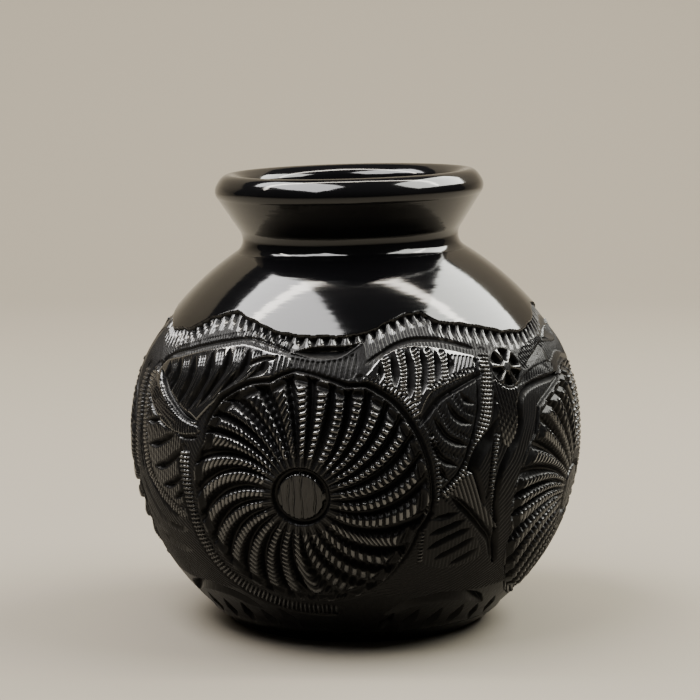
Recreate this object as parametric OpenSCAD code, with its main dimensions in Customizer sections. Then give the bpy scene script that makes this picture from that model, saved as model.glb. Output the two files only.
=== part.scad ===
// Carved black clay pot: a thrown globe with a flared neck, luted together
// from five clay members and carved in relief with four flowers.
// Frame: origin at the centre of the foot's underside, +Z up, the front
// flower towards -Y, millimetres.

/* [Globe] */
// Radius of the globe's outside
globe_r = 75; // [62:1:90]
// Radius of the flat foot that the pot stands on
foot_r = 41.6; // [34:0.2:50]
// Thickness of the globe's carved wall
globe_wall = 9; // [7:0.5:11]
// Thickness of the floor
floor_t = 9; // [6:0.5:12]
// Lean of the pot's axis from upright, towards -X, in degrees
lean = 1.6; // [0:0.1:3]

/* [Shoulder and neck] */
// How far the shoulder turns in where it leaves the globe, in degrees
shoulder_turn = 9.24; // [6:0.02:12]
// Narrowest outside radius of the neck
neck_r = 35.8; // [30:0.2:42]
// Height of the neck's narrowest place above where the shoulder leaves the globe
neck_rise = 38.1; // [31:0.1:46]
// Radius of the hollow curve round the outside of the neck
throat_r = 5; // [4:0.5:7]
// Thickness of the shoulder's top and of the neck
neck_wall = 7; // [5.5:0.5:8.5]

/* [Lip] */
// Radius of the circle along the middle of the rolled lip
lip_r = 39.3; // [37:0.1:48]
// Thickness radius of the rolled lip
lip_roll_r = 5; // [4.2:0.1:6]
// Height of the lip's middle above the neck's narrowest place
lip_rise = 16.2; // [14:0.1:20]

/* [Joints between the members] */
// Height on the globe's outside of the joint between foot and wall
foot_joint_h = 4; // [2:0.5:7]
// Rise of that joint's inner edge above the floor
foot_joint_rise = 3; // [2:0.5:5]
// Height on the globe's outside of the scarf joint at the belly
belly_joint_h = 64; // [54:1:74]
// Slope of the belly's scarf joint, in degrees from level
scarf_angle = 45; // [30:1:55]

/* [Carving] */
// Depth to which the ground round the motifs is cut
carve_depth = 2.4; // [1:0.1:3]
// Latitude on the globe of the carved zone's upper edge, in degrees
carve_top = 33; // [28:1:38]
// Latitude on the globe of the carved zone's lower edge, in degrees
carve_bottom = -47; // [-50:1:-42]
// Bearings of the four flowers from the front, in degrees
flower_bearings = [-13, 72.5, 164, 255]; // [-20:0.5:262]
// Latitude of the flowers' centres, in degrees
flower_lat = -10; // [-14:1:-8]
// Radius of a flower along the globe's surface
flower_r = 39.5; // [32:0.5:42]
// Radius of a flower's round button along the surface
button_r = 7.4; // [5:0.2:11]
// Width of the groove round the button
button_groove = 2.6; // [1.6:0.2:4]
// Length of a leaf from point to point
leaf_length = 36; // [24:1:40]
// Width of a leaf across its middle
leaf_width = 14; // [8:0.5:16]

/* [Hidden] */
$fn = 96;
clay_black = [0.10, 0.10, 0.11];
clay_burnished = [0.16, 0.16, 0.17];
slack = 1;                    // how far a cutting shape runs past what it cuts

// Centre of the globe: its height puts the foot's edge on the sphere
globe_h = sqrt(pow(globe_r, 2) - pow(foot_r, 2));
inner_r = globe_r - globe_wall;
// Outer and inner edge of the joint between foot and wall, as (radius, height)
foot_joint_out = [sqrt(pow(globe_r, 2) - pow(globe_h - foot_joint_h, 2)), foot_joint_h];
foot_joint_in_h = floor_t + foot_joint_rise;
foot_joint_in = [sqrt(pow(inner_r, 2) - pow(globe_h - foot_joint_in_h, 2)), foot_joint_in_h];
foot_joint_fall = (foot_joint_in[1] - foot_joint_out[1]) / (foot_joint_out[0] - foot_joint_in[0]);
foot_joint_apex = foot_joint_in[1] + foot_joint_in[0] * foot_joint_fall;

// Neck: centre of the hollow curve, in (radius, height)
throat_x = neck_r + throat_r;
// Shoulder: the arc that leaves the globe at a set latitude, turned in by
// shoulder_turn, and ends tangent to the neck's hollow curve
shoulder_lat = 20.7;
start = [globe_r * cos(shoulder_lat), globe_h + globe_r * sin(shoulder_lat)];
neck_h = start[1] + neck_rise;
leaves = [cos(shoulder_lat + shoulder_turn), sin(shoulder_lat + shoulder_turn)];
to_start = start - [throat_x, neck_h];
shoulder_r = (to_start * to_start - pow(throat_r, 2)) / (2 * (throat_r + leaves * to_start));
shoulder_x = start[0] - shoulder_r * leaves[0];
shoulder_y = start[1] - shoulder_r * leaves[1];
// Direction from the arc's centre to the throat's: the neck's joint lies on it
joint_dir = [throat_x - shoulder_x, neck_h - shoulder_y] / (shoulder_r + throat_r);

// Lip, and the two straight lines of the flare that touch throat and lip
lip_h = neck_h + lip_rise;
flare = [lip_r - throat_x, lip_rise];
flare_len = norm(flare);
flare_bearing = atan2(flare[1], flare[0]);
outer_slope = flare_bearing - asin((throat_r + lip_roll_r) / flare_len);
inner_slope = flare_bearing - asin((throat_r + neck_wall - lip_roll_r) / flare_len);
outer_side = [-sin(outer_slope), cos(outer_slope)];
inner_side = [-sin(inner_slope), cos(inner_slope)];
throat_c = [throat_x, neck_h];
lip_c = [lip_r, lip_h];
// Edges of the flare's bevelled top, on which the lip sits
seat_out = lip_c - outer_side * lip_roll_r;
seat_in = lip_c + inner_side * lip_roll_r;

// Degrees on the globe for a length along its surface
function arc_deg(length) = length / globe_r * 180 / PI;

// Puts the upper part's upright axis on the leaning one, about the globe's centre
module leaning() {
    translate([0, 0, globe_h]) rotate([0, -lean, 0]) translate([0, 0, -globe_h]) children();
}

// Turns a child's +Z to a bearing from the front and a latitude on the globe
module at_globe(bearing, latitude) {
    translate([0, 0, globe_h]) rotate([0, 0, bearing]) rotate([90 - latitude, 0, 0]) children();
}

module right_half() {
    translate([0, -globe_r]) square([3 * globe_r, 6 * globe_r]);
}

// Half section of the closed body, drawn in by `inset` on the globe and `top_inset` above:
// the globe's circle shapes it up to where the shoulder leaves, the shoulder's arc from there
module body_section(inset, top_inset) {
    wide = 3 * globe_r;
    intersection() {
        union() {
            translate([0, globe_h]) circle(r = globe_r - inset);
            translate([0, start[1] + inset]) square([wide, wide]);
        }
        union() {
            translate([shoulder_x, shoulder_y]) circle(r = shoulder_r - top_inset);
            translate([0, start[1] - wide]) square([wide, wide]);
        }
        right_half();
    }
}

// Half section of everything below the neck's joint
module below_neck_section() {
    far = shoulder_r + throat_r;
    reach = [shoulder_x, shoulder_y] + joint_dir * far;
    root = [shoulder_x, shoulder_y] + joint_dir * (-shoulder_x / joint_dir[0]);
    polygon([[0, -slack], [2 * globe_r, -slack], [2 * globe_r, reach[1]], reach, root]);
}

// Half section of everything below the belly's scarf joint: the slope runs
// through the wall and levels off inside the hollow
module below_belly_section() {
    joint_r = sqrt(pow(globe_r, 2) - pow(belly_joint_h - globe_h, 2));
    fall = tan(scarf_angle);
    far = 2 * globe_r;
    level_r = inner_r - 2 * globe_wall;
    level_h = belly_joint_h + (joint_r - level_r) * fall;
    polygon([[0, -far], [far, -far], [far, belly_joint_h - (far - joint_r) * fall],
             [level_r, level_h], [0, level_h]]);
}

// Half section of everything inside the joint between foot and wall
module inside_foot_joint_section() {
    far = 2 * globe_r;
    polygon([[0, -far], [(foot_joint_apex + far) / foot_joint_fall, -far], [0, foot_joint_apex]]);
}

// Half section of everything outside that joint
module outside_foot_joint_section() {
    far = 2 * globe_r;
    polygon([[0, foot_joint_apex], [(foot_joint_apex + far) / foot_joint_fall, -far],
             [2 * far, -far], [2 * far, far], [0, far]]);
}

// Half section of the band of latitudes that is carved
module carved_band_section() {
    low = [cos(carve_bottom), sin(carve_bottom)] * 2 * globe_r;
    high = [cos(carve_top), sin(carve_top)] * 2 * globe_r;
    translate([0, globe_h]) polygon([[0, 0], low, [2 * globe_r, 0], high]);
}

// Half section of the wall, its outside sunk to the ground along the carved band
module wall_section() {
    difference() {
        body_section(0, 0);
        body_section(globe_wall, neck_wall);
        difference() {
            carved_band_section();
            body_section(carve_depth, carve_depth);
        }
    }
}

// Half section, about its own upright axis, of a round piece of the standing surface
module standing_section(radius) {
    edge = arc_deg(radius);
    intersection() {
        difference() {
            circle(r = globe_r);
            circle(r = globe_r - 2 * carve_depth);
        }
        polygon([[0, 0], [2 * globe_r * sin(edge), 2 * globe_r * cos(edge)], [0, 2 * globe_r]]);
    }
}

// Section of a V groove, cut at a distance along the surface
module groove_section(radius, width) {
    out = globe_r + slack;
    deep = globe_r - carve_depth;
    edges = [arc_deg(radius - width / 2), arc_deg(radius), arc_deg(radius + width / 2)];
    polygon([[out * sin(edges[0]), out * cos(edges[0])],
             [deep * sin(edges[1]), deep * cos(edges[1])],
             [out * sin(edges[2]), out * cos(edges[2])]]);
}

// Round flower with a groove cut round its button
module flower(bearing, latitude) {
    at_globe(bearing, latitude) rotate_extrude() difference() {
        standing_section(flower_r);
        groove_section(button_r + button_groove / 2, button_groove);
    }
}

// A pointed leaf: what two large round pieces share
module leaf(bearing, latitude, turn, half_length, half_width) {
    swing = (pow(half_length, 2) - pow(half_width, 2)) / (2 * half_width);
    at_globe(bearing, latitude) rotate([0, 0, turn])
        intersection_for (side = [-1, 1])
            rotate([0, side * arc_deg(swing), 0])
                rotate_extrude() standing_section(swing + half_width);
}

// The motifs left standing: the flowers and, in each gap, four leaves
module motifs() {
    last = len(flower_bearings) - 1;
    for (k = [0 : last]) {
        bearing = flower_bearings[k];
        next = k == last ? flower_bearings[0] + 360 : flower_bearings[k + 1];
        gap = next - bearing;
        flower(bearing, flower_lat);
        leaf(bearing + gap * 0.38, 20, 75, leaf_length / 2, leaf_width / 2);
        leaf(bearing + gap * 0.60, 19, -60, leaf_length / 2, leaf_width / 2);
        leaf(bearing + gap * 0.50, -6, 0, leaf_length / 2, leaf_width / 2);
        leaf(bearing + gap * 0.50, -33, 10, leaf_length / 2, leaf_width / 2);
    }
}

// Disc of clay that closes the foot, its edge turned up to meet the wall
module base_disc() {
    far = 2 * globe_r;
    color(clay_black) difference() {
        leaning() rotate_extrude() intersection() {
            inside_foot_joint_section();
            difference() {
                body_section(0, 0);
                intersection() {
                    body_section(globe_wall, neck_wall);
                    translate([0, floor_t]) square(far);
                }
            }
        }
        translate([0, 0, -far / 2]) cube(far, center = true);
    }
}

// Lower half of the globe's wall, from the foot to the belly
module lower_bowl() {
    color(clay_black) leaning() intersection() {
        union() {
            rotate_extrude() wall_section();
            motifs();
        }
        rotate_extrude() intersection() {
            below_belly_section();
            outside_foot_joint_section();
        }
    }
}

// Upper half of the globe's wall, with the burnished shoulder
module shoulder_bowl() {
    color(clay_burnished) leaning() intersection() {
        union() {
            rotate_extrude() wall_section();
            motifs();
        }
        rotate_extrude() difference() {
            below_neck_section();
            below_belly_section();
        }
    }
}

// Hollow-curved neck and straight flare, up to the bevelled seat of the lip
module neck_collar() {
    top_angle = inner_slope + 90;
    joint_angle = atan2(-joint_dir[1], -joint_dir[0]) + 360;
    steps = 8;
    inside = [for (k = [0 : steps])
        let (a = top_angle + (joint_angle - top_angle) * k / steps)
        throat_c + (throat_r + neck_wall) * [cos(a), sin(a)]];
    color(clay_burnished) leaning() rotate_extrude() difference() {
        polygon(concat([throat_c, throat_c + outer_side * throat_r, seat_out, seat_in], inside));
        translate(throat_c) circle(r = throat_r);
    }
}

// Round coil rolled over the neck's edge, bevelled to its seat
module lip_coil() {
    seat = (seat_in - seat_out) / norm(seat_in - seat_out);
    up = [seat[1], -seat[0]];
    reach = 3 * lip_roll_r;
    color(clay_burnished) leaning() rotate_extrude() intersection() {
        translate(lip_c) circle(r = lip_roll_r);
        polygon([seat_out - seat * reach, seat_in + seat * reach,
                 seat_in + seat * reach + up * reach, seat_out - seat * reach + up * reach]);
    }
}

base_disc();
lower_bowl();
shoulder_bowl();
neck_collar();
lip_coil();
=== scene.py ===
import bpy, bmesh
import numpy as np
from math import radians, sin, cos, hypot
from mathutils import Matrix, Vector


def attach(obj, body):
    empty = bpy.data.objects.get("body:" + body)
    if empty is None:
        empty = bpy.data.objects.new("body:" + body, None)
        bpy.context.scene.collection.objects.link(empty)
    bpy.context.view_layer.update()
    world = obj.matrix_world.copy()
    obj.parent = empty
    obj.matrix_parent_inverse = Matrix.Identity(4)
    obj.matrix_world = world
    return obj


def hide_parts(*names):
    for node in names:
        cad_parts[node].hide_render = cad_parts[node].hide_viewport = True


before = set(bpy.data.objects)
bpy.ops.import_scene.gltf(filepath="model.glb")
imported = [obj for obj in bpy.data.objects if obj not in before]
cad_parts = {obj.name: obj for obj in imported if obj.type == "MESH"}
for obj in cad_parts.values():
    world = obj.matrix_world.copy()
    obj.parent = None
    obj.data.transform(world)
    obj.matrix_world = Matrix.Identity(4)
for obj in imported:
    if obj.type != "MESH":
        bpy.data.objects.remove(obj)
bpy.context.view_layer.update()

# ------------------------------------------------------------------ foot disc
# The floor of the pot is one disc of clay whose edge turns up to meet the
# wall. Underneath it is flat, rubbed smooth and a little rounded at the edge.
MM = 0.001
GLOBE_R, GLOBE_H = 75.0, 62.4          # globe's outside radius, height of its centre
WALL_IN_R = 66.0                       # globe's inside radius
FLOOR = 9.0                            # thickness of the pot's floor
FOOT_JOINT = [(47.05, 4.0), (42.6, 12.0)]  # outer and inner edge of the joint with the wall
LEAN = Matrix.Rotation(radians(-1.6), 4, "Y")
CENTRE = Vector((0, 0, GLOBE_H * MM))


def arc(cx, cy, radius, a, b, step):
    """Points along an arc in a half section, from angle a to b in degrees."""
    n = max(2, round(abs(radians(b - a)) * radius / step))
    return [(cx + radius * cos(radians(a + (b - a) * k / n)),
             cy + radius * sin(radians(a + (b - a) * k / n))) for k in range(n + 1)]


def turn(points, steps, closed, start=0.0, sweep=360.0):
    """Spins a half section (radius, height in mm) about the leaning axis."""
    bm = bmesh.new()
    a = radians(start)
    row = [bm.verts.new((r * sin(a) * MM, -r * cos(a) * MM, z * MM)) for r, z in points]
    ends = row + row[:1] if closed else row
    edges = [bm.edges.new(pair) for pair in zip(ends[:-1], ends[1:])]
    bmesh.ops.spin(bm, geom=row + edges, cent=(0, 0, 0), axis=(0, 0, 1), steps=steps,
                   angle=radians(sweep), use_merge=sweep == 360.0)
    if sweep < 360.0:
        rim = [e for e in bm.edges if e.is_boundary]
        bmesh.ops.holes_fill(bm, edges=rim, sides=0)
        for e in rim:
            e.smooth = False
    bmesh.ops.rotate(bm, verts=bm.verts, cent=CENTRE, matrix=LEAN)
    return bm


def piece(bm, name, material, nodes):
    """Makes the finished, smooth-shaded piece, hangs it under the root body and hides the CAD parts it
    stands in for.
    """
    bmesh.ops.remove_doubles(bm, verts=bm.verts, dist=1e-6)
    bmesh.ops.recalc_face_normals(bm, faces=bm.faces)
    for f in bm.faces:
        f.smooth = True
    mesh = bpy.data.meshes.new(name)
    bm.to_mesh(mesh)
    bm.free()
    obj = bpy.data.objects.new(name, mesh)
    bpy.context.scene.collection.objects.link(obj)
    mesh.materials.append(material)
    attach(obj, "root")
    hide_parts(*nodes)
    return obj


class Wire:
    """A shader value. Arithmetic makes Math nodes and node() makes any other node."""

    def __init__(self, tree, socket):
        self.tree, self.socket = tree, socket

    def feed(self, slot, value):
        if isinstance(value, Wire):
            self.tree.links.new(value.socket, slot)
        else:
            slot.default_value = value

    def node(self, kind, inputs, out=0, **settings):
        made = self.tree.nodes.new(kind)
        for key, value in settings.items():
            setattr(made, key, value)
        for key, value in inputs.items():
            self.feed(made.inputs[key], value)
        return Wire(self.tree, made.outputs[out])

    def math(self, kind, a, b):
        return self.node("ShaderNodeMath", {0: a, 1: b}, operation=kind)

    def __add__(self, other):
        return self.math("ADD", self, other)

    def __sub__(self, other):
        return self.math("SUBTRACT", self, other)

    def __mul__(self, other):
        return self.math("MULTIPLY", self, other)

    def ramp(self, low, high, to_low=0.0, to_high=1.0):
        return self.node("ShaderNodeMapRange", {0: self, 1: low, 2: high, 3: to_low, 4: to_high},
                         interpolation_type="SMOOTHSTEP")

    def mix(self, a, b):
        """Colour a where this value is 0, colour b where it is 1."""
        return self.node("ShaderNodeMix", {0: self, 6: a, 7: b}, out=2, data_type="RGBA")


def new_material(name):
    """An empty material: its shader, a wire to start from and the object coordinates."""
    mat = bpy.data.materials.new(name)
    mat.use_nodes = True
    tree = mat.node_tree
    shader = tree.nodes["Principled BSDF"]
    coords = Wire(tree, tree.nodes.new("ShaderNodeTexCoord").outputs["Object"])
    return mat, shader, coords


def noise(coords, scale, detail=3.0, rough=0.5, stretch=(1, 1, 1)):
    """Noise from -1 to 1 whose grains are 1/scale metres, stretched along each axis."""
    place = coords.node("ShaderNodeMapping", {0: coords, 3: stretch})
    grain = coords.node("ShaderNodeTexNoise", {"Vector": place, "Scale": scale, "Detail": detail,
                                               "Roughness": rough}, noise_dimensions="3D")
    return (grain - 0.5) * 2.0


CUT_BLACK = (0.0042, 0.0042, 0.0048, 1)       # cut clay: dark satin grey
POLISHED_BLACK = (0.0022, 0.0022, 0.0026, 1)  # burnished clay: black glass

cut_clay, shader, coords = new_material("cut_clay")
mottle = noise(coords, 55, 4)
coords.feed(shader.inputs["Base Color"],
            mottle.ramp(-0.6, 0.6).mix(CUT_BLACK, (0.0075, 0.0072, 0.0072, 1)))
coords.feed(shader.inputs["Roughness"], noise(coords, 300, 3) * 0.06 + 0.40)
grit = noise(coords, 900, 3)
coords.feed(shader.inputs["Normal"], coords.node(
    "ShaderNodeBump", {"Height": grit, "Distance": 0.00006, "Strength": 0.6}))

foot = turn([(0, FLOOR)] + [(r, FLOOR) for r in range(6, 37, 6)] + [(38.8, FLOOR)]
            + [(40.8, 10.4)] + FOOT_JOINT[::-1]
            + arc(0, GLOBE_H, GLOBE_R, -51.15, -60.0, 0.6)[1:] + [(20, -6.0), (0, -6.0)],
            320, False)
# the ring leans, so what hangs below the ground is sliced off and the foot closed flat
bmesh.ops.bisect_plane(foot, geom=foot.verts[:] + foot.edges[:] + foot.faces[:], dist=1e-7,
                       plane_co=(0, 0, 0), plane_no=(0, 0, 1), clear_inner=True)
bmesh.ops.holes_fill(foot, edges=[e for e in foot.edges if e.is_boundary], sides=0)
under = [f for f in foot.faces if len(f.verts) > 100]
bmesh.ops.bevel(foot, geom=under[0].edges[:], offset=0.7 * MM, segments=3, profile=0.5,
                affect="EDGES", material=-1)
for e in foot.edges:
    if len(e.link_faces) == 2 and e.calc_face_angle(0) > radians(30):
        e.smooth = False
piece(foot, "foot_disc", cut_clay, ["base_disc"])

# --------------------------------------------------- carved wall and shoulder
# The globe's wall, cut with a knife and a toothed blade: four turning flowers,
# leaves, straps and rosettes between them, and above a scalloped edge the
# shoulder that was burnished with a stone. Nine upright slices make the wall.
SHOULDER = (-16.5, 39.01, 100.0)       # long arc of the shoulder: centre and radius
SHOULDER_LAT = 20.7                    # latitude where globe and shoulder meet
SHOULDER_FROM = 29.94                  # angle at which the arc leaves the globe
JOIN = radians(SHOULDER_LAT) * GLOBE_R  # the same meeting, in mm up the surface
NECK_JOINT = 56.93                     # angle of the arc where the neck collar starts
NECK_WALL = 7.0
TOP = 74.2                             # mm up the surface to the neck collar
SLICES, COLUMNS, GRAIN = 9, 187, 0.28  # GRAIN is the height of a row of points
SUNK, SUNK_EDGE = 0.55, 0.85           # the ground's depth, and its depth beside the burnishing

# The clay. Polish says where the stone rubbed it, crown where the top of a cut shines.
wall_clay, shader, coords = new_material("carved_and_burnished_clay")
rubbed = coords.node("ShaderNodeAttribute", {}, out=2, attribute_name="polish")
shine = coords.node("ShaderNodeAttribute", {}, out=2, attribute_name="crown")
mottle = noise(coords, 55, 4)
bare = mottle.ramp(-0.6, 0.6).mix(CUT_BLACK, (0.0075, 0.0072, 0.0072, 1))
coords.feed(shader.inputs["Base Color"], bare)
coords.feed(shader.inputs["Roughness"], noise(coords, 300, 3) * 0.06 + 0.38 - shine * 0.12)
coords.feed(shader.inputs["Coat Weight"], shine)
shader.inputs["Coat Roughness"].default_value = 0.10
shader.inputs["Coat IOR"].default_value = 2.1
shader.inputs["Specular IOR Level"].default_value = 0.16
strokes = noise(coords, 700, 2, 0.5, (1, 1, 0.22)) * 0.00007 + noise(coords, 900, 3) * 0.00005
coords.feed(shader.inputs["Normal"], coords.node(
    "ShaderNodeBump", {"Height": strokes, "Distance": 1.0, "Strength": 0.8}))
streak = noise(coords, 22, 4, 0.6, (1, 1, 34))
drag = streak * 0.000018 + noise(coords, 60, 2, 0.5, (1, 1, 5)) * 0.00004
shoulder_shine = coords.node("ShaderNodeBsdfPrincipled", {
    "Base Color": POLISHED_BLACK, "Roughness": streak * 0.035 + noise(coords, 38, 3) * 0.025 + 0.085,
    "Normal": coords.node("ShaderNodeBump", {"Height": drag, "Distance": 1.0, "Strength": 0.7})})
both = coords.node("ShaderNodeMixShader", {
    0: rubbed, 1: Wire(coords.tree, shader.outputs[0]), 2: shoulder_shine})
coords.feed(coords.tree.nodes["Material Output"].inputs["Surface"], both)


def outside(v):
    """Half section of the outside at v mm up the surface from the globe's equator."""
    sphere = GLOBE_R * np.cos(v / GLOBE_R), GLOBE_H + GLOBE_R * np.sin(v / GLOBE_R)
    a = radians(SHOULDER_FROM) + (v - JOIN) / SHOULDER[2]
    upper = SHOULDER[0] + SHOULDER[2] * np.cos(a), SHOULDER[1] + SHOULDER[2] * np.sin(a)
    return np.where(v < JOIN, sphere, upper)


def eased(v):
    """The same half section with the meeting of globe and shoulder rubbed round."""
    spread = np.linspace(-10, 10, 41)
    weight = np.exp(-(spread / 4.5) ** 2 / 2)
    blurred = (outside(v[:, None] + spread) * weight).sum(2) / weight.sum()
    near = np.clip(1.6 - abs(v - JOIN) / 12, 0, 1)
    return outside(v) * (1 - near) + blurred * near


def wander(place):
    """Small unevenness of the hand-turned shoulder, neck and lip, in mm outwards."""
    x, y, z = place
    a = np.arctan2(x, -y)
    rise = np.clip((z - 80) / 45, 0, 1)
    return rise * (0.22 * np.sin(2 * a + 0.8) + 0.16 * np.sin(3 * a + 2.2)
                   + 0.10 * np.sin(5 * a + 1.0 + z / 9))


rows = np.concatenate([np.linspace(-67.0, -62.0, 9)[:-1], np.arange(-62.0, 52.5, GRAIN),
                       np.linspace(52.5, TOP - 1, 28), np.linspace(TOP - 0.8, TOP, 5)])
skin = [tuple(p) for p in eased(rows).T]
lining = arc(SHOULDER[0], SHOULDER[1], SHOULDER[2] - NECK_WALL, NECK_JOINT, 38.5, 4.5)
lining += arc(0, GLOBE_H, WALL_IN_R, 31.0, -49.8, 6.0)
slices = []
for k in range(SLICES):
    bm = turn(skin + lining, COLUMNS, True, 360 / SLICES * (k - 0.5), 360 / SLICES)
    slices.append(piece(bm, "carved_wall_%d" % (k + 1), wall_clay, ["lower_bowl", "shoulder_bowl"]))

# every outside point of all the slices, as bearing and distance up the surface
points, owners = [], []
for obj in slices:
    co = np.zeros(len(obj.data.vertices) * 3)
    obj.data.vertices.foreach_get("co", co)
    points.append(co.reshape(-1, 3) / MM)
    owners.append(np.linalg.norm(points[-1] - (0, 0, GLOBE_H), axis=1) > 69.0)
place = np.concatenate([co[out] for co, out in zip(points, owners)])
rel = place - (0, 0, GLOBE_H)
reach = np.linalg.norm(rel, axis=1)
bearing = np.degrees(np.arctan2(rel[:, 0], -rel[:, 1]))
guide = np.linspace(-80, 90, 2000)
section = outside(guide)
up = np.interp(np.arcsin(rel[:, 2] / reach), np.arctan2(section[1] - GLOBE_H, section[0]), guide)
height = np.zeros(len(place))          # mm that each point is moved outwards
gloss = np.zeros(len(place))           # shine of flat facets below the old surface


def lay(az, lat):
    """Flat sheet laid on the globe round a bearing and latitude: x right, y up, in mm."""
    b, l, l0 = np.radians(bearing - az), up / GLOBE_R, radians(lat)
    c = np.sin(l) * sin(l0) + np.cos(l) * np.cos(b) * cos(l0)
    rho = np.arccos(np.clip(c, -1, 1))
    k = GLOBE_R * rho / np.maximum(np.sin(rho), 1e-6)
    x, y = k * np.cos(l) * np.sin(b), k * (np.sin(l) * cos(l0) - np.cos(l) * np.cos(b) * sin(l0))
    far = rho > 1.0
    x[far], y[far] = 1e3, 1e3
    return x, y


def curve(points, n=7):
    """A smooth line through given points."""
    p = np.array(points, float)
    p = np.vstack([2 * p[0] - p[1], p, 2 * p[-1] - p[-2]])
    t = np.linspace(0, 1, n, endpoint=False)[:, None]
    runs = [0.5 * (2 * b + (c - a) * t + (2 * a - 5 * b + 4 * c - d) * t ** 2
                   + (3 * b - a - 3 * c + d) * t ** 3)
            for a, b, c, d in zip(p[:-3], p[1:-2], p[2:-1], p[3:])]
    return np.vstack(runs + [p[-2:-1]])


def follow(sheet, points, reach):
    """Points of the sheet near a line: which, offset to its left, distance along, length."""
    line = curve(points)
    lo, hi = line.min(0) - reach, line.max(0) + reach
    x, y = sheet
    near = np.flatnonzero((x > lo[0]) & (x < hi[0]) & (y > lo[1]) & (y < hi[1]))
    px, py = x[near], y[near]
    best, side, run, s = np.full(len(near), 1e9), np.zeros(len(near)), np.zeros(len(near)), 0.0
    for a, b in zip(line[:-1], line[1:]):
        d = b - a
        size = max(hypot(*d), 1e-9)
        ox, oy = px - a[0], py - a[1]
        t = np.clip((ox * d[0] + oy * d[1]) / size ** 2, 0, 1)
        q = np.hypot(ox - t * d[0], oy - t * d[1])
        closer = q < best
        best[closer] = q[closer]
        side[closer] = (q * np.sign(d[0] * oy - d[1] * ox))[closer]
        run[closer] = (s + t * size)[closer]
        s += size
    keep = best < reach
    return near[keep], side[keep], run[keep], s


def cut(sheet, points, width, depth, lean=0.0, blunt=False):
    """A V cut along a line, tapering at its ends. Lean puts its bottom left (+) or right (-)."""
    near, side, run, length = follow(sheet, points, width * 0.55)
    ends = 1.0 if blunt else np.clip(np.minimum(run, length - run) / (1.3 * width), 0.02, 1) ** 0.6
    t = side / (width / 2 * ends)
    slope = np.clip(np.where(t > lean, (1 - t) / (1 - lean), (1 + t) / (1 + lean)), 0, 1)
    slope = slope * slope * (1.6 - 0.6 * slope) if blunt else slope
    height[near] = np.minimum(height[near], -depth * slope * (ends if not blunt else 1))


def nick(sheet, points, width, depth, pitch, slant=0.0, lift=0.0):
    """A row of short knife strokes across a line, which may stand above the ground as a strap."""
    near, side, run, length = follow(sheet, points, width / 2)
    height[near] = np.minimum(height[near] + lift * (1 - abs(2 * side / width) ** 3), -0.05)
    q = run / pitch + slant * side / width
    stroke = np.clip(1 - abs(q - np.round(q)) / 0.36, 0, 1)
    height[near] -= depth * stroke * np.clip(1.3 - 1.3 * abs(2 * side / width) ** 4, 0, 1)


def comb(sheet, points, width, depth, pitch):
    """Fine toothed lines that run along a line."""
    near, side, run, length = follow(sheet, points, width / 2)
    q = side / pitch
    line = np.clip(1 - abs(q - np.round(q)) / 0.4, 0, 1)
    height[near] -= depth * line * np.clip(np.minimum(run, length - run) / 1.5, 0, 1)


def inside(sheet, points):
    """Points of the sheet inside a closed outline."""
    x, y = sheet
    p = curve(list(points) + [points[0]], 4)
    hit = np.zeros(len(x), bool)
    near = np.flatnonzero((x > p[:, 0].min()) & (x < p[:, 0].max())
                          & (y > p[:, 1].min()) & (y < p[:, 1].max()))
    px, py = x[near], y[near]
    odd = np.zeros(len(near), bool)
    for a, b in zip(p[:-1], p[1:]):
        if a[1] != b[1]:
            cross = (a[1] > py) != (b[1] > py)
            odd ^= cross & (px < (b[0] - a[0]) * (py - a[1]) / (b[1] - a[1]) + a[0])
    hit[near] = odd
    return hit


def hatch(sheet, outline, angle, pitch, depth):
    """Parallel toothed strokes over an area, running at an angle in degrees."""
    area = inside(sheet, outline)
    x, y = sheet[0][area], sheet[1][area]
    q = (y * cos(radians(angle)) - x * sin(radians(angle))) / pitch
    height[area] -= depth * np.clip(1 - abs(q - np.round(q)) / 0.36, 0, 1)


def ease(value, low, high):
    t = np.clip((value - low) / (high - low), 0, 1)
    return t * t * (3 - 2 * t)


# The whole carved zone is first gone over with a toothed blade, in strokes that fan out
for az, lat, x0, y0 in ((33, 4, -60, 40), (-52, 4, 70, 50), (125, 4, 70, 50), (212.75, 4, -60, 40)):
    x, y = lay(az, lat)
    area = (abs(x) < 36) & (y > -52)
    q = np.hypot(x[area] - x0, y[area] - y0) / 1.25
    q += 0.25 * np.sin(x[area] * 0.35) + 0.2 * np.sin(y[area] * 0.5 + 1.0)
    height[area] = -0.3 * np.clip(1 - abs(q - np.round(q)) / 0.38, 0, 1)

# The scalloped edge of the burnishing, and the row of wedges cut under it
edge_at = [-70, -58, -50.8, -41.4, -32.2, -22.5, -13.2, -3, 2.8, 9, 15.9, 20.4, 26, 36.8, 47.2,
           56.4, 69.2, 80, 90, 104, 116, 128, 140, 152, 166, 178, 189, 200, 212, 226, 238, 250,
           262, 274, 286]
edge_lat = [30.2, 31.4, 35.5, 38.1, 35.5, 32.8, 32.3, 32.5, 33.4, 36.1, 38.6, 38.8, 35.8, 34.3,
            31.6, 30.7, 33.2, 36.8, 35.6, 31.8, 31.2, 34.9, 38.4, 35.2, 31.4, 32.0, 36.2, 38.3,
            34.6, 31.1, 32.4, 37.0, 38.5, 34.6, 31.2]
edge = np.radians(np.interp(bearing, edge_at, edge_lat, period=360)) * GLOBE_R
edge += 0.25 * np.sin(np.radians(bearing) * 47) * np.sin(np.radians(bearing) * 13)
below = edge - up
burnished = below < 0.0
height -= ease(below, 0.0, 0.5) * (SUNK_EDGE - (SUNK_EDGE - SUNK) * ease(below, 7, 15))
round_mm = np.radians(bearing) * 63.0
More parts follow.
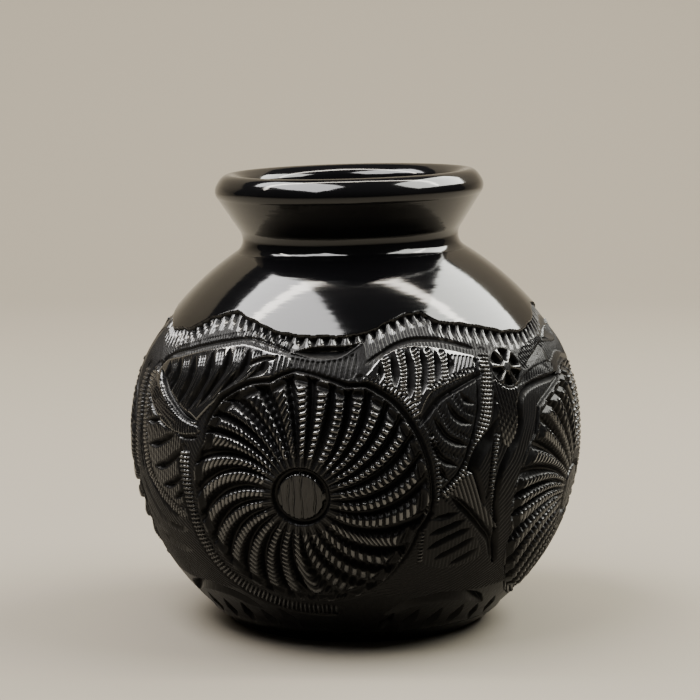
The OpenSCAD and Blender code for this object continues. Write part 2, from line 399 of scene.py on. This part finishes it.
for first, last, pitch, long, slant in [(22, 76, 3.2, 6.5, 0.35), (-2.5, 10, 3.4, 4.2, 0.0),
                                        (10, 22, 3.3, 5.0, -0.2), (-21, -3, 4.0, 4.5, 0.1),
                                        (-50, -21, 3.7, 6.5, -0.25), (-76, -50, 2.6, 7.0, -0.6),
                                        (76, 134, 3.4, 6.0, 0.3), (134, 178, 3.7, 5.0, -0.2),
                                        (178, 180, 3.2, 5.5, 0.2), (-180, -118, 3.3, 6.0, 0.25),
                                        (-118, -76, 3.5, 6.0, -0.3)]:
    area = (bearing >= first) & (bearing < last) & (below > -0.3) & (below < long)
    t = np.clip(below[area] / long, 0, 1)
    q = (round_mm[area] + slant * below[area]) / pitch
    f = q - np.floor(q)
    wedge = np.where(f < 0.74, f / 0.74, (1 - f) / 0.26)
    height[area] = np.minimum(height[area], -0.35 - 2.0 * wedge * (1 - t ** 2) * ease(t, -0.12, 0.1))
    gloss[area] = 0.4 * (f > 0.12) * (f < 0.62) * ease(t, 0.02, 0.2)


def right_gap(sheet):
    """What is cut between a flower and the next one to its right, round the leaf and strap."""
    # hollow channel over leaf A, the leaf's furrows and its beads
    cut(sheet, [(-34, 30), (-27.5, 34.2), (-19.8, 36.2), (-10.9, 35.3), (-3.1, 32.8), (4.1, 30)],
        3.9, 1.9, 0.35)
    leaf_a = [(-36, 27), (-33, 30), (-28, 33), (-19.8, 34.2), (-10.9, 32.3), (-3.1, 29.8), (3, 27.3),
              (1.3, 23.6), (-6.4, 21.9), (-13.1, 20), (-18.1, 17.9), (-21.4, 13.6), (-23.7, 9.2),
              (-25.3, 13.1), (-29.2, 18.1), (-33.7, 21.4), (-38.7, 23.7)]
    height[inside(sheet, leaf_a)] = -0.12
    for furrow in ([(-32.6, 29.2), (-32.6, 26), (-33.6, 22.8)],
                   [(-28.1, 31.6), (-28, 27), (-28.9, 20.5)],
                   [(-23.1, 32.6), (-22.9, 26), (-25.2, 16.5)],
                   [(-18.1, 32.6), (-18, 26), (-21, 17.5)],
                   [(-13.5, 31.4), (-13.6, 26), (-15.8, 20)],
                   [(-9.2, 30.3), (-9, 26.5), (-10.6, 22)]):
        cut(sheet, furrow, 3.0, 2.0, -0.45)
    for bead in ([(-30.4, 31), (-30.5, 26), (-31.6, 20.8)], [(-25.2, 32.8), (-25.3, 26), (-27, 17.5)],
                 [(-20.3, 32.8), (-20.3, 26), (-22.8, 15.5)], [(-15.7, 32), (-15.9, 26), (-18, 19.2)],
                 [(-11.1, 31), (-11.3, 26), (-12.8, 21)]):
        nick(sheet, bead, 2.2, 0.6, 1.25, 0.6)
    hatch(sheet, [(-9, 29.8), (-1, 28.2), (2, 26.6), (0, 24.4), (-7.5, 22.8)], 62, 1.3, 0.5)
    nick(sheet, [(1.3, 24.3), (-6.4, 22.8), (-13.1, 21.2), (-18.1, 19.2)], 2.6, 0.5, 1.3, 0.2)
    nick(sheet, [(-23.4, 11), (-26.2, 16), (-30.2, 19.8), (-34.4, 22.6), (-39.4, 24.7)], 3.0, 0.6, 1.35)
    # channel between the leaves, then leaf B with its curved furrows
    cut(sheet, [(3.5, 23.6), (-6.4, 20), (-15.3, 16.2), (-20.9, 10.9), (-24.2, 6.6)], 3.6, 2.3, 0.3)
    leaf_b = [(1.4, 21), (-0.9, 17), (-3.1, 9.8), (-4.8, 3.7), (-6.8, -1.9), (-9.6, -8), (-15.3, -13.5),
              (-16.6, -8), (-18.1, -2.4), (-19.8, 3.1), (-22.4, 7.6), (-19, 11.8), (-12, 15.8), (-5, 18.8)]
    part = inside(sheet, leaf_b)
    height[part] = np.minimum(height[part], -0.2)
    for furrow in ([(-8.6, 18.2), (-6.5, 14.6), (-2.4, 12.6)], [(-13.8, 15.4), (-10.2, 9.2), (-4, 6.4)],
                   [(-18.9, 11.4), (-14.2, 3.4), (-6, -0.2)], [(-20.6, 4.6), (-16.4, -3), (-9.4, -6.4)],
                   [(-17.6, -3.6), (-15.8, -8.4), (-12.6, -10.6)]):
        cut(sheet, furrow, 3.8, 2.4, 0.45)
    for bead in ([(-11, 17.4), (-7.6, 11.9), (-3, 10)], [(-16.3, 13.9), (-12.4, 6.2), (-5, 2.8)],
                 [(-21, 8.6), (-16.2, 0.4), (-7.6, -3.4)]):
        nick(sheet, bead, 1.7, 0.5, 1.1, 0.8)
    # nicked strap that falls from the rosette to the tail of leaf B
    strap = [(4.7, 29.6), (2.4, 18.7), (0.8, 10.9), (-0.9, 6.4), (-3.7, -0.2), (-6.4, -5.8),
             (-10.9, -11.3), (-15.3, -14.7)]
    cut(sheet, [(x - 2.9 - y * 0.02, y) for x, y in strap], 1.9, 1.7, -0.4)
    cut(sheet, [(x + 2.9 + y * 0.02, y) for x, y in strap[:5]], 1.7, 1.4, 0.3)
    nick(sheet, strap, 4.4, 0.75, 1.35, 0.3, 0.5)
    # fan of toothed lines, and the rosette over it
    fan = [(5.4, 20.4), (14.6, 17.6), (13.4, 9), (11.6, 2), (8.5, -1.5), (5.2, 4)]
    height[inside(sheet, fan)] = -0.1
    hatch(sheet, fan, 99, 1.25, 0.8)
    over = [(19, 26), (24, 30), (33, 33), (40, 34), (40, 31), (31, 27), (22, 22.6)]
    under = [(15, 17.6), (19.6, 20.6), (28, 23.6), (38, 24.6), (38, 20), (29, 20.4), (20.6, 18.6)]
    hatch(sheet, over, 120, 1.3, 0.6)
    hatch(sheet, under, 70, 1.3, 0.6)
    cut(sheet, [(21, 22.6), (27, 25.4), (34, 28.8), (42, 33)], 4.6, 1.8, 0.4)
    # wide dark channel round the flower on the right
    cut(sheet, [(42, 19.4), (31, 18.4), (22.6, 17), (17.6, 14.6), (15.2, 10.9), (15, 5.9), (12.6, 0.6),
                (9, -3.4), (6.2, -8), (4.9, -13), (4.6, -19), (6, -25), (7.6, -32), (10, -40)],
        4.6, 3.0, -0.35, True)
    x, y = sheet
    hub, turn_at = np.hypot(x - 12.6, y - 24.2), np.arctan2(y - 24.2, x - 12.6)
    ring = hub < 7.4
    petal = abs(np.sin(3 * turn_at[ring] + 0.4))
    well = ease(hub[ring], 1.6, 2.6) * (1 - ease(hub[ring], 5.9, 6.6)) * ease(petal, 0.25, 0.75)
    height[ring] = np.minimum(-0.2 - 0.6 * ease(hub[ring], 6.0, 7.2), -0.2 - 2.3 * well)
    # deep eye of shade beside the strap, with a round ridge standing in it
    eye = [(4.2, 8.6), (0.4, 2.4), (-3.4, -1.6), (-5.9, -6.9), (-5.1, -11.2), (-3.1, -15.2), (-0.6, -20)]
    cut(sheet, [(x + 0.9, y) for x, y in eye], 6.0, 3.4, -0.35)
    cut(sheet, [(4.6, 6.5), (2.4, -0.5), (1.4, -8), (0.9, -14), (0, -19)], 2.0, 1.5, 0.1)
    nick(sheet, [(4.4, 3.1), (2.5, -8), (2.6, -16.3), (4.6, -24), (7.2, -29)], 2.0, 0.6, 1.2, 0.0, 0.4)
    # nicked triangle over the crossing of the leaves
    wedge = [(-14.2, -14.7), (-6.4, -8), (-3.6, -13), (-0.9, -18.6), (6.3, -27.4), (-3.1, -23.6),
             (-8.7, -19.1)]
    height[inside(sheet, wedge)] = -0.3
    hatch(sheet, wedge, 112, 1.35, 0.55)
    # channel over leaf C and the leaf's long straight furrows
    cut(sheet, [(-14, -14.2), (-6.4, -20.8), (0.2, -27.4), (5.2, -33), (6.9, -40)], 4.6, 2.6, 0.35)
    leaf_c = [(-16.4, -14.7), (-8.6, -21.6), (-3.6, -26.6), (-0.3, -31.5), (2.5, -37), (-4, -40),
              (-12, -40.5), (-19.5, -38), (-20, -30.2), (-20.3, -24.7), (-18.3, -17.4)]
    height[inside(sheet, leaf_c)] = -0.45
    hatch(sheet, leaf_c, 97, 1.3, 0.2)
    for furrow in ([(-19.6, -22.6), (-14, -21.9), (-8.6, -20.4)],
                   [(-19.6, -28.2), (-12, -25.7), (-5.6, -22.9)],
                   [(-19.3, -33.6), (-12, -29.8), (-3, -26.2)],
                   [(-16.2, -37.6), (-8, -33.6), (-0.8, -29.6)],
                   [(-10, -40), (-4, -37.2), (1.4, -34)]):
        cut(sheet, furrow, 3.2, 1.9, 0.5)
    nick(sheet, [(-18.6, -16), (-20.6, -22), (-21.2, -30.2), (-20.2, -37.5)], 2.2, 0.7, 1.3, 0.0, 0.4)
    nick(sheet, [(-19.2, 4.5), (-17.9, -1.3), (-17, -9), (-17.8, -16), (-20.6, -21.9)], 2.2, 0.7, 1.4,
         0.0, 0.4)


def left_gap(sheet):
    """What is cut between a flower and the next one to its left, round the curling ribbon."""
    # channel over leaf D, the leaf and its curved furrows
    cut(sheet, [(-17, 19.6), (-12, 25.4), (-3.6, 28.2), (5.2, 31), (13.6, 33.6), (23, 36), (33, 35),
                (42, 33)], 3.6, 1.7, 0.3)
    leaf_d = [(-14.2, 19.8), (-10.9, 23.7), (-3.1, 25.9), (5.2, 28.7), (13.6, 31.2), (23, 33.7),
              (33, 32.6), (41.3, 31.4), (41.3, 24.8), (35.8, 22.6), (29.1, 20.9), (23.6, 18.7),
              (18, 13.1), (13, 7.6), (11.3, 5.3), (4.1, 7.6), (-3.1, 10.9), (-8.7, 14.8)]
    height[inside(sheet, leaf_d)] = -0.12
    for furrow in ([(-8.6, 23.8), (-7.4, 20), (-9, 16)], [(-3.1, 25.6), (-1.8, 19.8), (-3.9, 12.4)],
                   [(4.1, 27), (5.6, 19.4), (2.2, 9.6)], [(11.4, 29.6), (13, 21), (7.6, 8.6)],
                   [(18, 31.4), (19.1, 23.7), (12.6, 11)], [(25.4, 32.4), (26.3, 25.3), (19.6, 16)],
                   [(32.6, 31.6), (33, 26.5), (28.6, 22)]):
        cut(sheet, furrow, 4.2, 2.0, -0.4)
    for bead in ([(-6, 24.6), (-4.7, 20), (-6.4, 14)], [(0.4, 26.4), (1.9, 19.8), (-0.9, 11)],
                 [(7.6, 28.6), (9.1, 20.6), (4.9, 9)], [(14.6, 30.8), (16, 22.6), (10.2, 9.6)],
                 [(21.7, 32.4), (22.7, 24.6), (16.2, 13.4)], [(29, 32.4), (29.7, 26), (24.4, 19.4)]):
        comb(sheet, bead, 3.0, 0.45, 1.05)
    nick(sheet, [(-15, 22), (-10, 27), (-2, 29.6), (6, 32.4), (14, 35), (23, 37.4), (33, 36.4), (40, 35)],
         4.0, 0.4, 1.1, 0.3)
    # broad ribbon that curls under the leaf and runs down to the flower's rope
    ribbon = [(-20.5, 19), (-14.2, 19.4), (-8.7, 14.2), (-3.1, 10.3), (5.2, 6.2), (13, 4.6), (13.6, 3),
              (8, 1.8), (1.3, 2.2), (-6.4, 4.9), (-12.6, 8.9), (-18.6, 14)]
    height[inside(sheet, ribbon)] = -0.1
    cut(sheet, [(-12.4, 20.6), (-7.2, 15.8), (-2, 12.2), (5.6, 8.2), (13, 6.4)], 3.4, 2.6, -0.5)
    cut(sheet, [(-18.9, 12.6), (-12.6, 7), (-6.4, 3.4), (1.3, 0.9), (8, 0.4), (14.4, 1.6)], 1.8, 1.6, 0.3)
    nick(sheet, [(-19.5, 19.5), (-15, 14), (-10, 11), (-3.6, 7.4), (4, 4.4), (12.6, 3.2)],
         6.6, 0.55, 1.2, 1.3)
    arm = [(-17.6, 21), (-18.8, 12), (-17.8, 3.1), (-16.4, -5.8), (-13.4, -13.6), (-8, -18.6),
           (-3.1, -21.9), (2.4, -24.4), (6, -24.6)]
    cut(sheet, [(x - 3, y - 1) for x, y in arm[1:]], 1.8, 1.6, -0.3)
    cut(sheet, [(x + 2.6, y + 1.2) for x, y in arm[1:7]], 1.5, 1.2, 0.3)
    nick(sheet, arm, 4.6, 0.75, 1.3, 0.1, 0.5)
    # leaf E between ribbon and rope
    field = [(-15.8, 8.6), (-6, 3.2), (6, 0.2), (6.4, -12), (4, -21.6), (-3, -19.4), (-9.6, -14.6),
             (-13.4, -7), (-15.4, 1)]
    height[inside(sheet, field)] = -0.25
    hatch(sheet, field, 84, 1.2, 0.45)
    for furrow in ([(-16.2, 3.4), (-11, 4), (-5.6, 6)], [(-13.6, -4), (-6.4, -2.6), (3, 1.6)],
                   [(-10, -10.8), (-2, -8.8), (7.2, -2.6)], [(-5.6, -16.4), (0.2, -15), (6.8, -10.8)],
                   [(0, -20), (3, -18.6), (6.4, -16)]):
        cut(sheet, furrow, 3.4, 2.3, -0.3)
    # band of beads and a round ridge at the outer side of the ribbon's arm
    cut(sheet, [(-22.6, 20), (-24, 10), (-22.4, 1), (-22.2, -6), (-20, -15)], 2.6, 1.8, 0.3)
    nick(sheet, [(-26.4, 19.6), (-26.6, 10.9), (-25.6, 3.1), (-26, -5.2), (-25.8, -13.6)],
         5.6, 0.7, 1.4, 0.0, 0.4)
    # knife facets that fall from the arm to the foot
    for facet, wide in (([(-15.6, -14.8), (-10.9, -20.6), (-5, -24.8), (2, -28.4)], 4.4),
                        ([(-24, -14), (-19.6, -22), (-13.6, -28), (-5, -33)], 5.0),
                        ([(-31, -15), (-26.6, -24), (-20, -31), (-12, -36.4)], 5.4),
                        ([(-12, -30), (-3, -31.4), (5, -31)], 4.0),
                        ([(-20, -36), (-9, -39), (2, -39.6)], 4.4)):
        cut(sheet, facet, wide, 1.8, 0.55)


def low_facets(az):
    """Smooth knife facets and an arch of three lenses, low on the globe under a gap."""
    sheet = lay(az, -46)
    arch = [(-21, 1), (-14, 8.5), (-4, 11.5), (7, 10), (16, 3)]
    cut(sheet, arch, 5.2, 3.4, 0.4)
    for x in (-11, -2.5, 6):
        cut(sheet, [(x - 1.5, -7), (x + 0.3, 0), (x + 1.2, 6.6)], 6.2, 3.0, 0.45)
    for x in (-19, 14, 22):
        cut(sheet, [(x * 1.02, -9), (x, -3), (x * 0.96, 4)], 6.4, 2.6, -0.5)


def eye_band(az):
    """The half-closed eye over each flower, with the upright strokes under it."""
    sheet = lay(az, 27)
    hatch(sheet, [(-14.6, 0.6), (-9, -0.4), (0, -1.8), (8, -0.2), (11.8, 1.6), (11, -7), (2, -6.4),
                  (-6, -4.8), (-15, -6.4)], 84, 1.7, 0.6)
    x, y = sheet
    lid = np.interp(x, [-9.6, -6.5, -3.4, 1, 7.3, 10.4, 13.2], [1.4, 2.4, 3.4, 3.9, 4.2, 5.1, 5.8])
    base = np.interp(x, [-9.6, -6.5, -2.1, 1.9, 5.7, 8.8, 11.3, 13.2],
                     [1.2, 0.3, -0.7, -1.2, -0.7, 1.2, 3.4, 5.4])
    area = (x > -9.6) & (x < 13.2) & (y < lid) & (y > base)
    t = (y - base)[area] / np.maximum(lid - base, 0.2)[area]
    deep = 2.8 * np.clip(((lid - base)[area]) / 4.0, 0, 1)
    height[area] = -deep * np.where(t > 0.72, (1 - t) / 0.28, 0.25 + 0.75 * t / 0.72)
    cut(sheet, [(14, -3), (18, 1.4), (24, 5.4)], 2.6, 1.7, 0.2)
    cut(sheet, [(-26, -4), (-20, -1), (-13, -0.6)], 2.4, 1.4, 0.2)


# Where each of the flower's 28 ridges stands: its angle 16 mm and 36 mm from the middle
ridge_no = [0, 2, 4, 6, 7, 9, 11, 13, 15, 16, 18, 20, 22, 24, 26, 28]
ridge_in = [346, 376, 396, 416, 433, 457, 480, 497, 518, 537, 566.7, 595, 620, 645, 675, 706]
ridge_out = [366, 388, 407, 429, 437, 461, 492, 511.7, 545, 558, 584, 609, 632, 664, 692, 726]
rim_at = [-10, 20, 45, 60, 68, 80, 95, 108, 118, 135, 150, 157, 170, 185, 200, 230, 270, 300, 320, 340]
rim_r = [40, 40.3, 40.5, 39.5, 36.5, 37, 38.8, 36.5, 38.3, 39.6, 38.5, 36.8, 38.7, 38, 38.6, 38.6, 39,
         40, 38, 37.5]
groove_at = [0, 60, 90, 135, 157, 180, 270, 300, 330]
groove_w = [3.2, 3.2, 2.5, 3.0, 1.5, 0.8, 0.8, 1.5, 3.0]


def flower(az, lat, twist, size, roped):
    """One turning flower: button, dark ring, 28 nicked ridges, rim, groove and rope."""
    sheet = lay(az, lat)
    x, y = sheet[0] / size, sheet[1] / size
    r, a = np.hypot(x, y), np.degrees(np.arctan2(y, x)) % 360
    rim = np.interp(a - twist, rim_at, rim_r, period=360)
    wide = np.interp(a, groove_at, groove_w, period=360)
    # rope of strokes down the left and the bottom
    if roped:
        rope = [(-43, 10), (-42.2, 0), (-40.4, -10), (-37.2, -20), (-32, -29), (-24.6, -35.6),
                (-15, -40.2), (-5, -42.9), (8, -43.6)]
        cut((x, y), [(p * 1.07, q * 1.07) for p, q in rope], 1.8, 1.6, 0.2)
        nick((x, y), rope, 5.2, 0.85, 1.5, 0.0, 0.5)
    # groove round the rim
    area = np.flatnonzero((r > rim) & (r < rim + wide))
    t = (r[area] - rim[area]) / wide[area]
    height[area] = np.minimum(height[area], -0.75 * wide[area] * np.where(t < 0.4, t / 0.4, (1 - t) / 0.6))
    # ridges
    area = np.flatnonzero(r <= rim)
    ra, aa = r[area], a[area]
    numbers = np.arange(29)
    start = np.interp(numbers, ridge_no, ridge_in)
    swing = np.interp(numbers, ridge_no, ridge_out) - start
    s = np.clip((ra - 16) / 20, -0.5, 1.3)
    bend = np.where(s > 0, abs(s) ** 1.3, 0.35 * s)
    lines = start[None, :] + swing[None, :] * bend[:, None]
    angle = (aa - twist - lines[:, 0]) % 360 + lines[:, 0]
    which = np.clip((lines <= angle[:, None]).sum(1) - 1, 0, 27)
    at = np.arange(len(area))
    f = (angle - lines[at, which]) / (lines[at, which + 1] - lines[at, which])
    deep = np.interp(ra, [9.3, 13, 20, 30, 37, 41], [0.5, 1.4, 2.5, 3.3, 3.2, 2.2])
    saw = np.interp(f, [0, 0.12, 0.32, 0.42, 0.53, 0.65, 0.77, 0.86, 0.93, 1],
                    [0.05, 0.0, 0.01, 0.10, 0.45, 0.90, 1, 0.80, 0.26, 0.05])
    h = -0.05 - deep * saw
    # strokes over the crests: round beads at the right, longer slanted strokes low right,
    # broad oblique ones on the feather petals above
    low = ease(aa, 262, 275) * (1 - ease(aa, 318, 332))
    broad = ease(aa, 92, 98) * (1 - ease(aa, 128, 136))
    left = ease(aa, 136, 150) * (1 - ease(aa, 255, 270))
    crest = np.where(f > 0.62, f - 1, f)
    slant = 0.9 + 1.2 * low + 2.2 * broad - 1.6 * left
    q = ra / 1.95 * (1 - 0.22 * low - 0.2 * broad + 0.2 * left) + slant * crest + 0.37 * which
    stroke = np.clip(1 - abs(q - np.round(q)) / (0.36 - 0.06 * left), 0, 1)
    spread = 0.36 + 0.12 * low + 0.12 * broad
    band = np.clip(1.5 - 1.5 * abs((crest - 0.19) / spread) ** 3, 0, 1)
    h -= 0.85 * stroke * band * ease(ra, 10, 15)
    # hollow wall inside the rim, the dark ring and the scratched button
    t = rim[area] - ra
    h = np.minimum(h, -1.9 * np.where(t < 1.9, t / 1.9, np.clip(1 - (t - 1.9) / 2.2, 0, 1)))
    ring = np.clip(1 - abs(ra - 8.4) / 1.15, 0, 1)
    h = np.minimum(h, np.where(ra < 12.5, -0.35 - 2.0 * np.clip(ring * 1.8, 0, 1), 0))
    collar = (ra > 9.4) & (ra < 12.8)
    h[collar] -= 0.35 * np.clip(1 - abs((aa[collar] / 5.2) % 1 - 0.5) / 0.3, 0, 1)
    button = ra < 7.6
    lines_at = x[area][button] + 0.25 * np.sin(y[area][button] * 0.5 + x[area][button])
    scratch = 0.6 * np.sin(lines_at * 4.6) + 0.5 * np.sin(lines_at * 2.9 + 1) + 0.2
    h[button] = (-0.55 + 0.15 * (1 - (ra[button] / 7.5) ** 2) - 0.65 * np.clip(scratch, 0, 1)
                 - 2.0 * ease(ra[button], 7.2, 7.6))
    height[area] = h
    gloss[area[button]] = 0.25


for az in (33, 212.75):
    right_gap(lay(az, 4))
    low_facets(az - 2)
for az in (-52, 125):
    left_gap(lay(az, 4))
    low_facets(az + 4)
for az in (-10, 76, 167.5, 258):
    eye_band(az)
for az, lat, twist, size, roped in ((-13.4, -7.1, 0, 1.0, True), (74.5, -12.5, 38, 1.06, False),
                                    (164, -9, 12, 1.0, True), (255, -10, 31, 1.04, False)):
    flower(az, lat, twist, size, roped)

height[burnished] = 0.0
height *= ease(up, -66.5, -62.5)       # the wall is left whole where it meets the foot disc
polish = np.where(burnished, 1.0, 0.0)
crown = np.where(burnished, 0.0, np.maximum(ease(height, -0.45, -0.12), gloss * (height < -0.4)))
crown *= 0.45 + 0.55 * ease(up, -45, 0)
moved = place + rel / reach[:, None] * height[:, None]
moved[:, :2] *= (1 + wander(place.T) / np.maximum(np.hypot(place[:, 0], place[:, 1]), 1))[:, None]

at = 0
for obj, co, out in zip(slices, points, owners):
    part = slice(at, at + out.sum())
    co[out] = moved[part]
    obj.data.vertices.foreach_set("co", (co * MM).ravel())
    for name, values in (("polish", polish), ("crown", crown)):
        full = np.zeros(len(co), np.float32)
        full[out] = values[part]
        obj.data.attributes.new(name, "FLOAT", "POINT").data.foreach_set("value", full)
    obj.data.update()
    at += out.sum()

# ---------------------------------------------------------------- neck collar
# The neck turns through a hollow curve into a straight flare. It was burnished
# in one go with the shoulder, so streaks run round it and it mirrors the room.
polished_clay, shader, coords = new_material("burnished_clay")
coords.feed(shader.inputs["Base Color"],
            noise(coords, 45, 3).ramp(-0.5, 0.7).mix(POLISHED_BLACK, (0.004, 0.004, 0.0044, 1)))
streak = noise(coords, 22, 4, 0.6, (1, 1, 34))
patch = noise(coords, 38, 3)
coords.feed(shader.inputs["Roughness"], streak * 0.03 + patch * 0.025 + 0.085)
drag = streak * 0.000016 + noise(coords, 60, 2, 0.5, (1, 1, 5)) * 0.00004
coords.feed(shader.inputs["Normal"], coords.node(
    "ShaderNodeBump", {"Height": drag, "Distance": 1.0, "Strength": 0.7}))


def uneven(bm):
    """Gives a turned piece the same unevenness as the shoulder under it."""
    co = np.array([v.co for v in bm.verts]) / MM
    co[:, :2] *= (1 + wander(co.T) / np.maximum(np.hypot(co[:, 0], co[:, 1]), 1))[:, None]
    for v, p in zip(bm.verts, co * MM):
        v.co = p
    for e in bm.edges:
        if len(e.link_faces) == 2 and e.calc_face_angle(0) > radians(32):
            e.smooth = False
    return bm


THROAT, THROAT_R = (40.8, 127.0), 5.0   # hollow curve round the neck: centre and radius
LIP = (39.3, 143.2)                     # middle of the rolled lip
SEAT = (-32.6, 159.8)                   # angles at which the lip's edge touches the flare
FLARE_STEPS = 20


def lip_edge(a):
    """The lip's section at an angle: round, but rubbed flatter on its outer face and its top."""
    c, s = abs(cos(radians(a - 33))), abs(sin(radians(a - 33)))
    r = 4.85 / (c ** 2.5 + s ** 2.5) ** 0.4
    return LIP[0] + r * cos(radians(a)), LIP[1] + r * sin(radians(a))


turn_in = NECK_JOINT + 180
neck = arc(*THROAT, THROAT_R, turn_in, 229, 0.08) + arc(*THROAT, THROAT_R, 227.5, 147.4, 0.25)
flare_foot, flare_top = neck[-1], lip_edge(SEAT[0])
for k in range(1, FLARE_STEPS + 1):
    t = k / FLARE_STEPS
    neck.append((flare_foot[0] + t * (flare_top[0] - flare_foot[0]),
                 flare_foot[1] + t * (flare_top[1] - flare_foot[1])))
neck += [lip_edge(SEAT[1])] + arc(*THROAT, THROAT_R + NECK_WALL, SEAT[1], turn_in, 1.2)
piece(uneven(turn(neck, 540, True)), "neck_collar_clay", polished_clay, ["neck_collar"])

# ------------------------------------------------------------------------ lip
# A round coil rolled over the edge of the flare and burnished like the neck.
lip = [lip_edge(a) for a in np.linspace(*SEAT, 64)]
piece(uneven(turn(lip, 540, True)), "lip_coil_clay", polished_clay, ["lip_coil"])

# ------------------------------------------------- floor, lights and camera
# A plain pale floor that curves up behind, two long soft lights high at the
# sides, a wash of light on the wall behind, and a dim room all round.
floor_mat, shader, coords = new_material("pale_floor")
shader.inputs["Base Color"].default_value = (0.225, 0.202, 0.162, 1)
shader.inputs["Roughness"].default_value = 0.8
bm = bmesh.new()
line = [(-2.2, 0), (0.9, 0)] + [(0.9 + 0.5 * sin(radians(a)), 0.5 - 0.5 * cos(radians(a)))
                                for a in range(9, 91, 9)] + [(1.4, 1.5)]
row = [bm.verts.new((-2.6, y, z)) for y, z in line]
edges = [bm.edges.new(pair) for pair in zip(row[:-1], row[1:])]
side = bmesh.ops.extrude_edge_only(bm, edges=edges)["geom"]
bmesh.ops.translate(bm, verts=[g for g in side if isinstance(g, bmesh.types.BMVert)], vec=(5.2, 0, 0))
bmesh.ops.recalc_face_normals(bm, faces=bm.faces)
if sum(f.normal.z for f in bm.faces) < 0:
    bmesh.ops.reverse_faces(bm, faces=bm.faces)
for f in bm.faces:
    f.smooth = True
mesh = bpy.data.meshes.new("pale_floor")
bm.to_mesh(mesh)
bm.free()
mesh.materials.append(floor_mat)
pale_floor = bpy.data.objects.new("pale_floor", mesh)
bpy.context.scene.collection.objects.link(pale_floor)


def softbox(name, middle, back, along, wide, tall, watts, colour):
    """A soft light: its middle, the way its back faces and the way its long side runs."""
    back = Vector(back).normalized()
    side = Vector(along) - back * back.dot(Vector(along))
    side.normalize()
    turned = Matrix((side, back.cross(side), back)).transposed().to_4x4()
    data = bpy.data.lights.new(name, "AREA")
    data.shape, data.size, data.size_y = "RECTANGLE", wide, tall
    data.energy, data.color = watts, colour
    obj = bpy.data.objects.new(name, data)
    obj.matrix_world = Matrix.Translation(middle) @ turned
    bpy.context.scene.collection.objects.link(obj)


to_left, to_right = Vector((-0.46, -0.10, 0.88)), Vector((0.64, 0.14, 0.74))
softbox("left_light", CENTRE + to_left, to_left, (0.42, -0.91, 0), 1.05, 0.46, 23.0,
        (1.0, 0.98, 0.97))
softbox("right_light", CENTRE + to_right, to_right, (-0.12, -0.99, 0.05), 0.98, 0.46, 22.5,
        (1.0, 1.0, 0.93))
# the pot's sides mirror the wall that this one lights
softbox("wall_wash", (0, 0.25, 1.9), (0, -1.0, 0.95), (1, 0, 0), 4.6, 0.3, 125.0, (1.0, 0.93, 0.82))

world = bpy.data.worlds.new("dim_room")
world.use_nodes = True
world.node_tree.nodes["Background"].inputs["Color"].default_value = (0.30, 0.29, 0.28, 1)
world.node_tree.nodes["Background"].inputs["Strength"].default_value = 0.12
bpy.context.scene.world = world

camera = bpy.data.cameras.new("camera")
camera.lens, camera.sensor_width = 124.9, 36.0
camera.clip_start = 0.01
camera.dof.use_dof = False
eye = bpy.data.objects.new("camera", camera)
eye.location = (-0.0019, -0.8, 0.1982)
aim = Vector((-0.0019, 0, 0.0888)) - eye.location
eye.rotation_euler = aim.to_track_quat("-Z", "Y").to_euler()
bpy.context.scene.collection.objects.link(eye)
bpy.context.scene.camera = eye
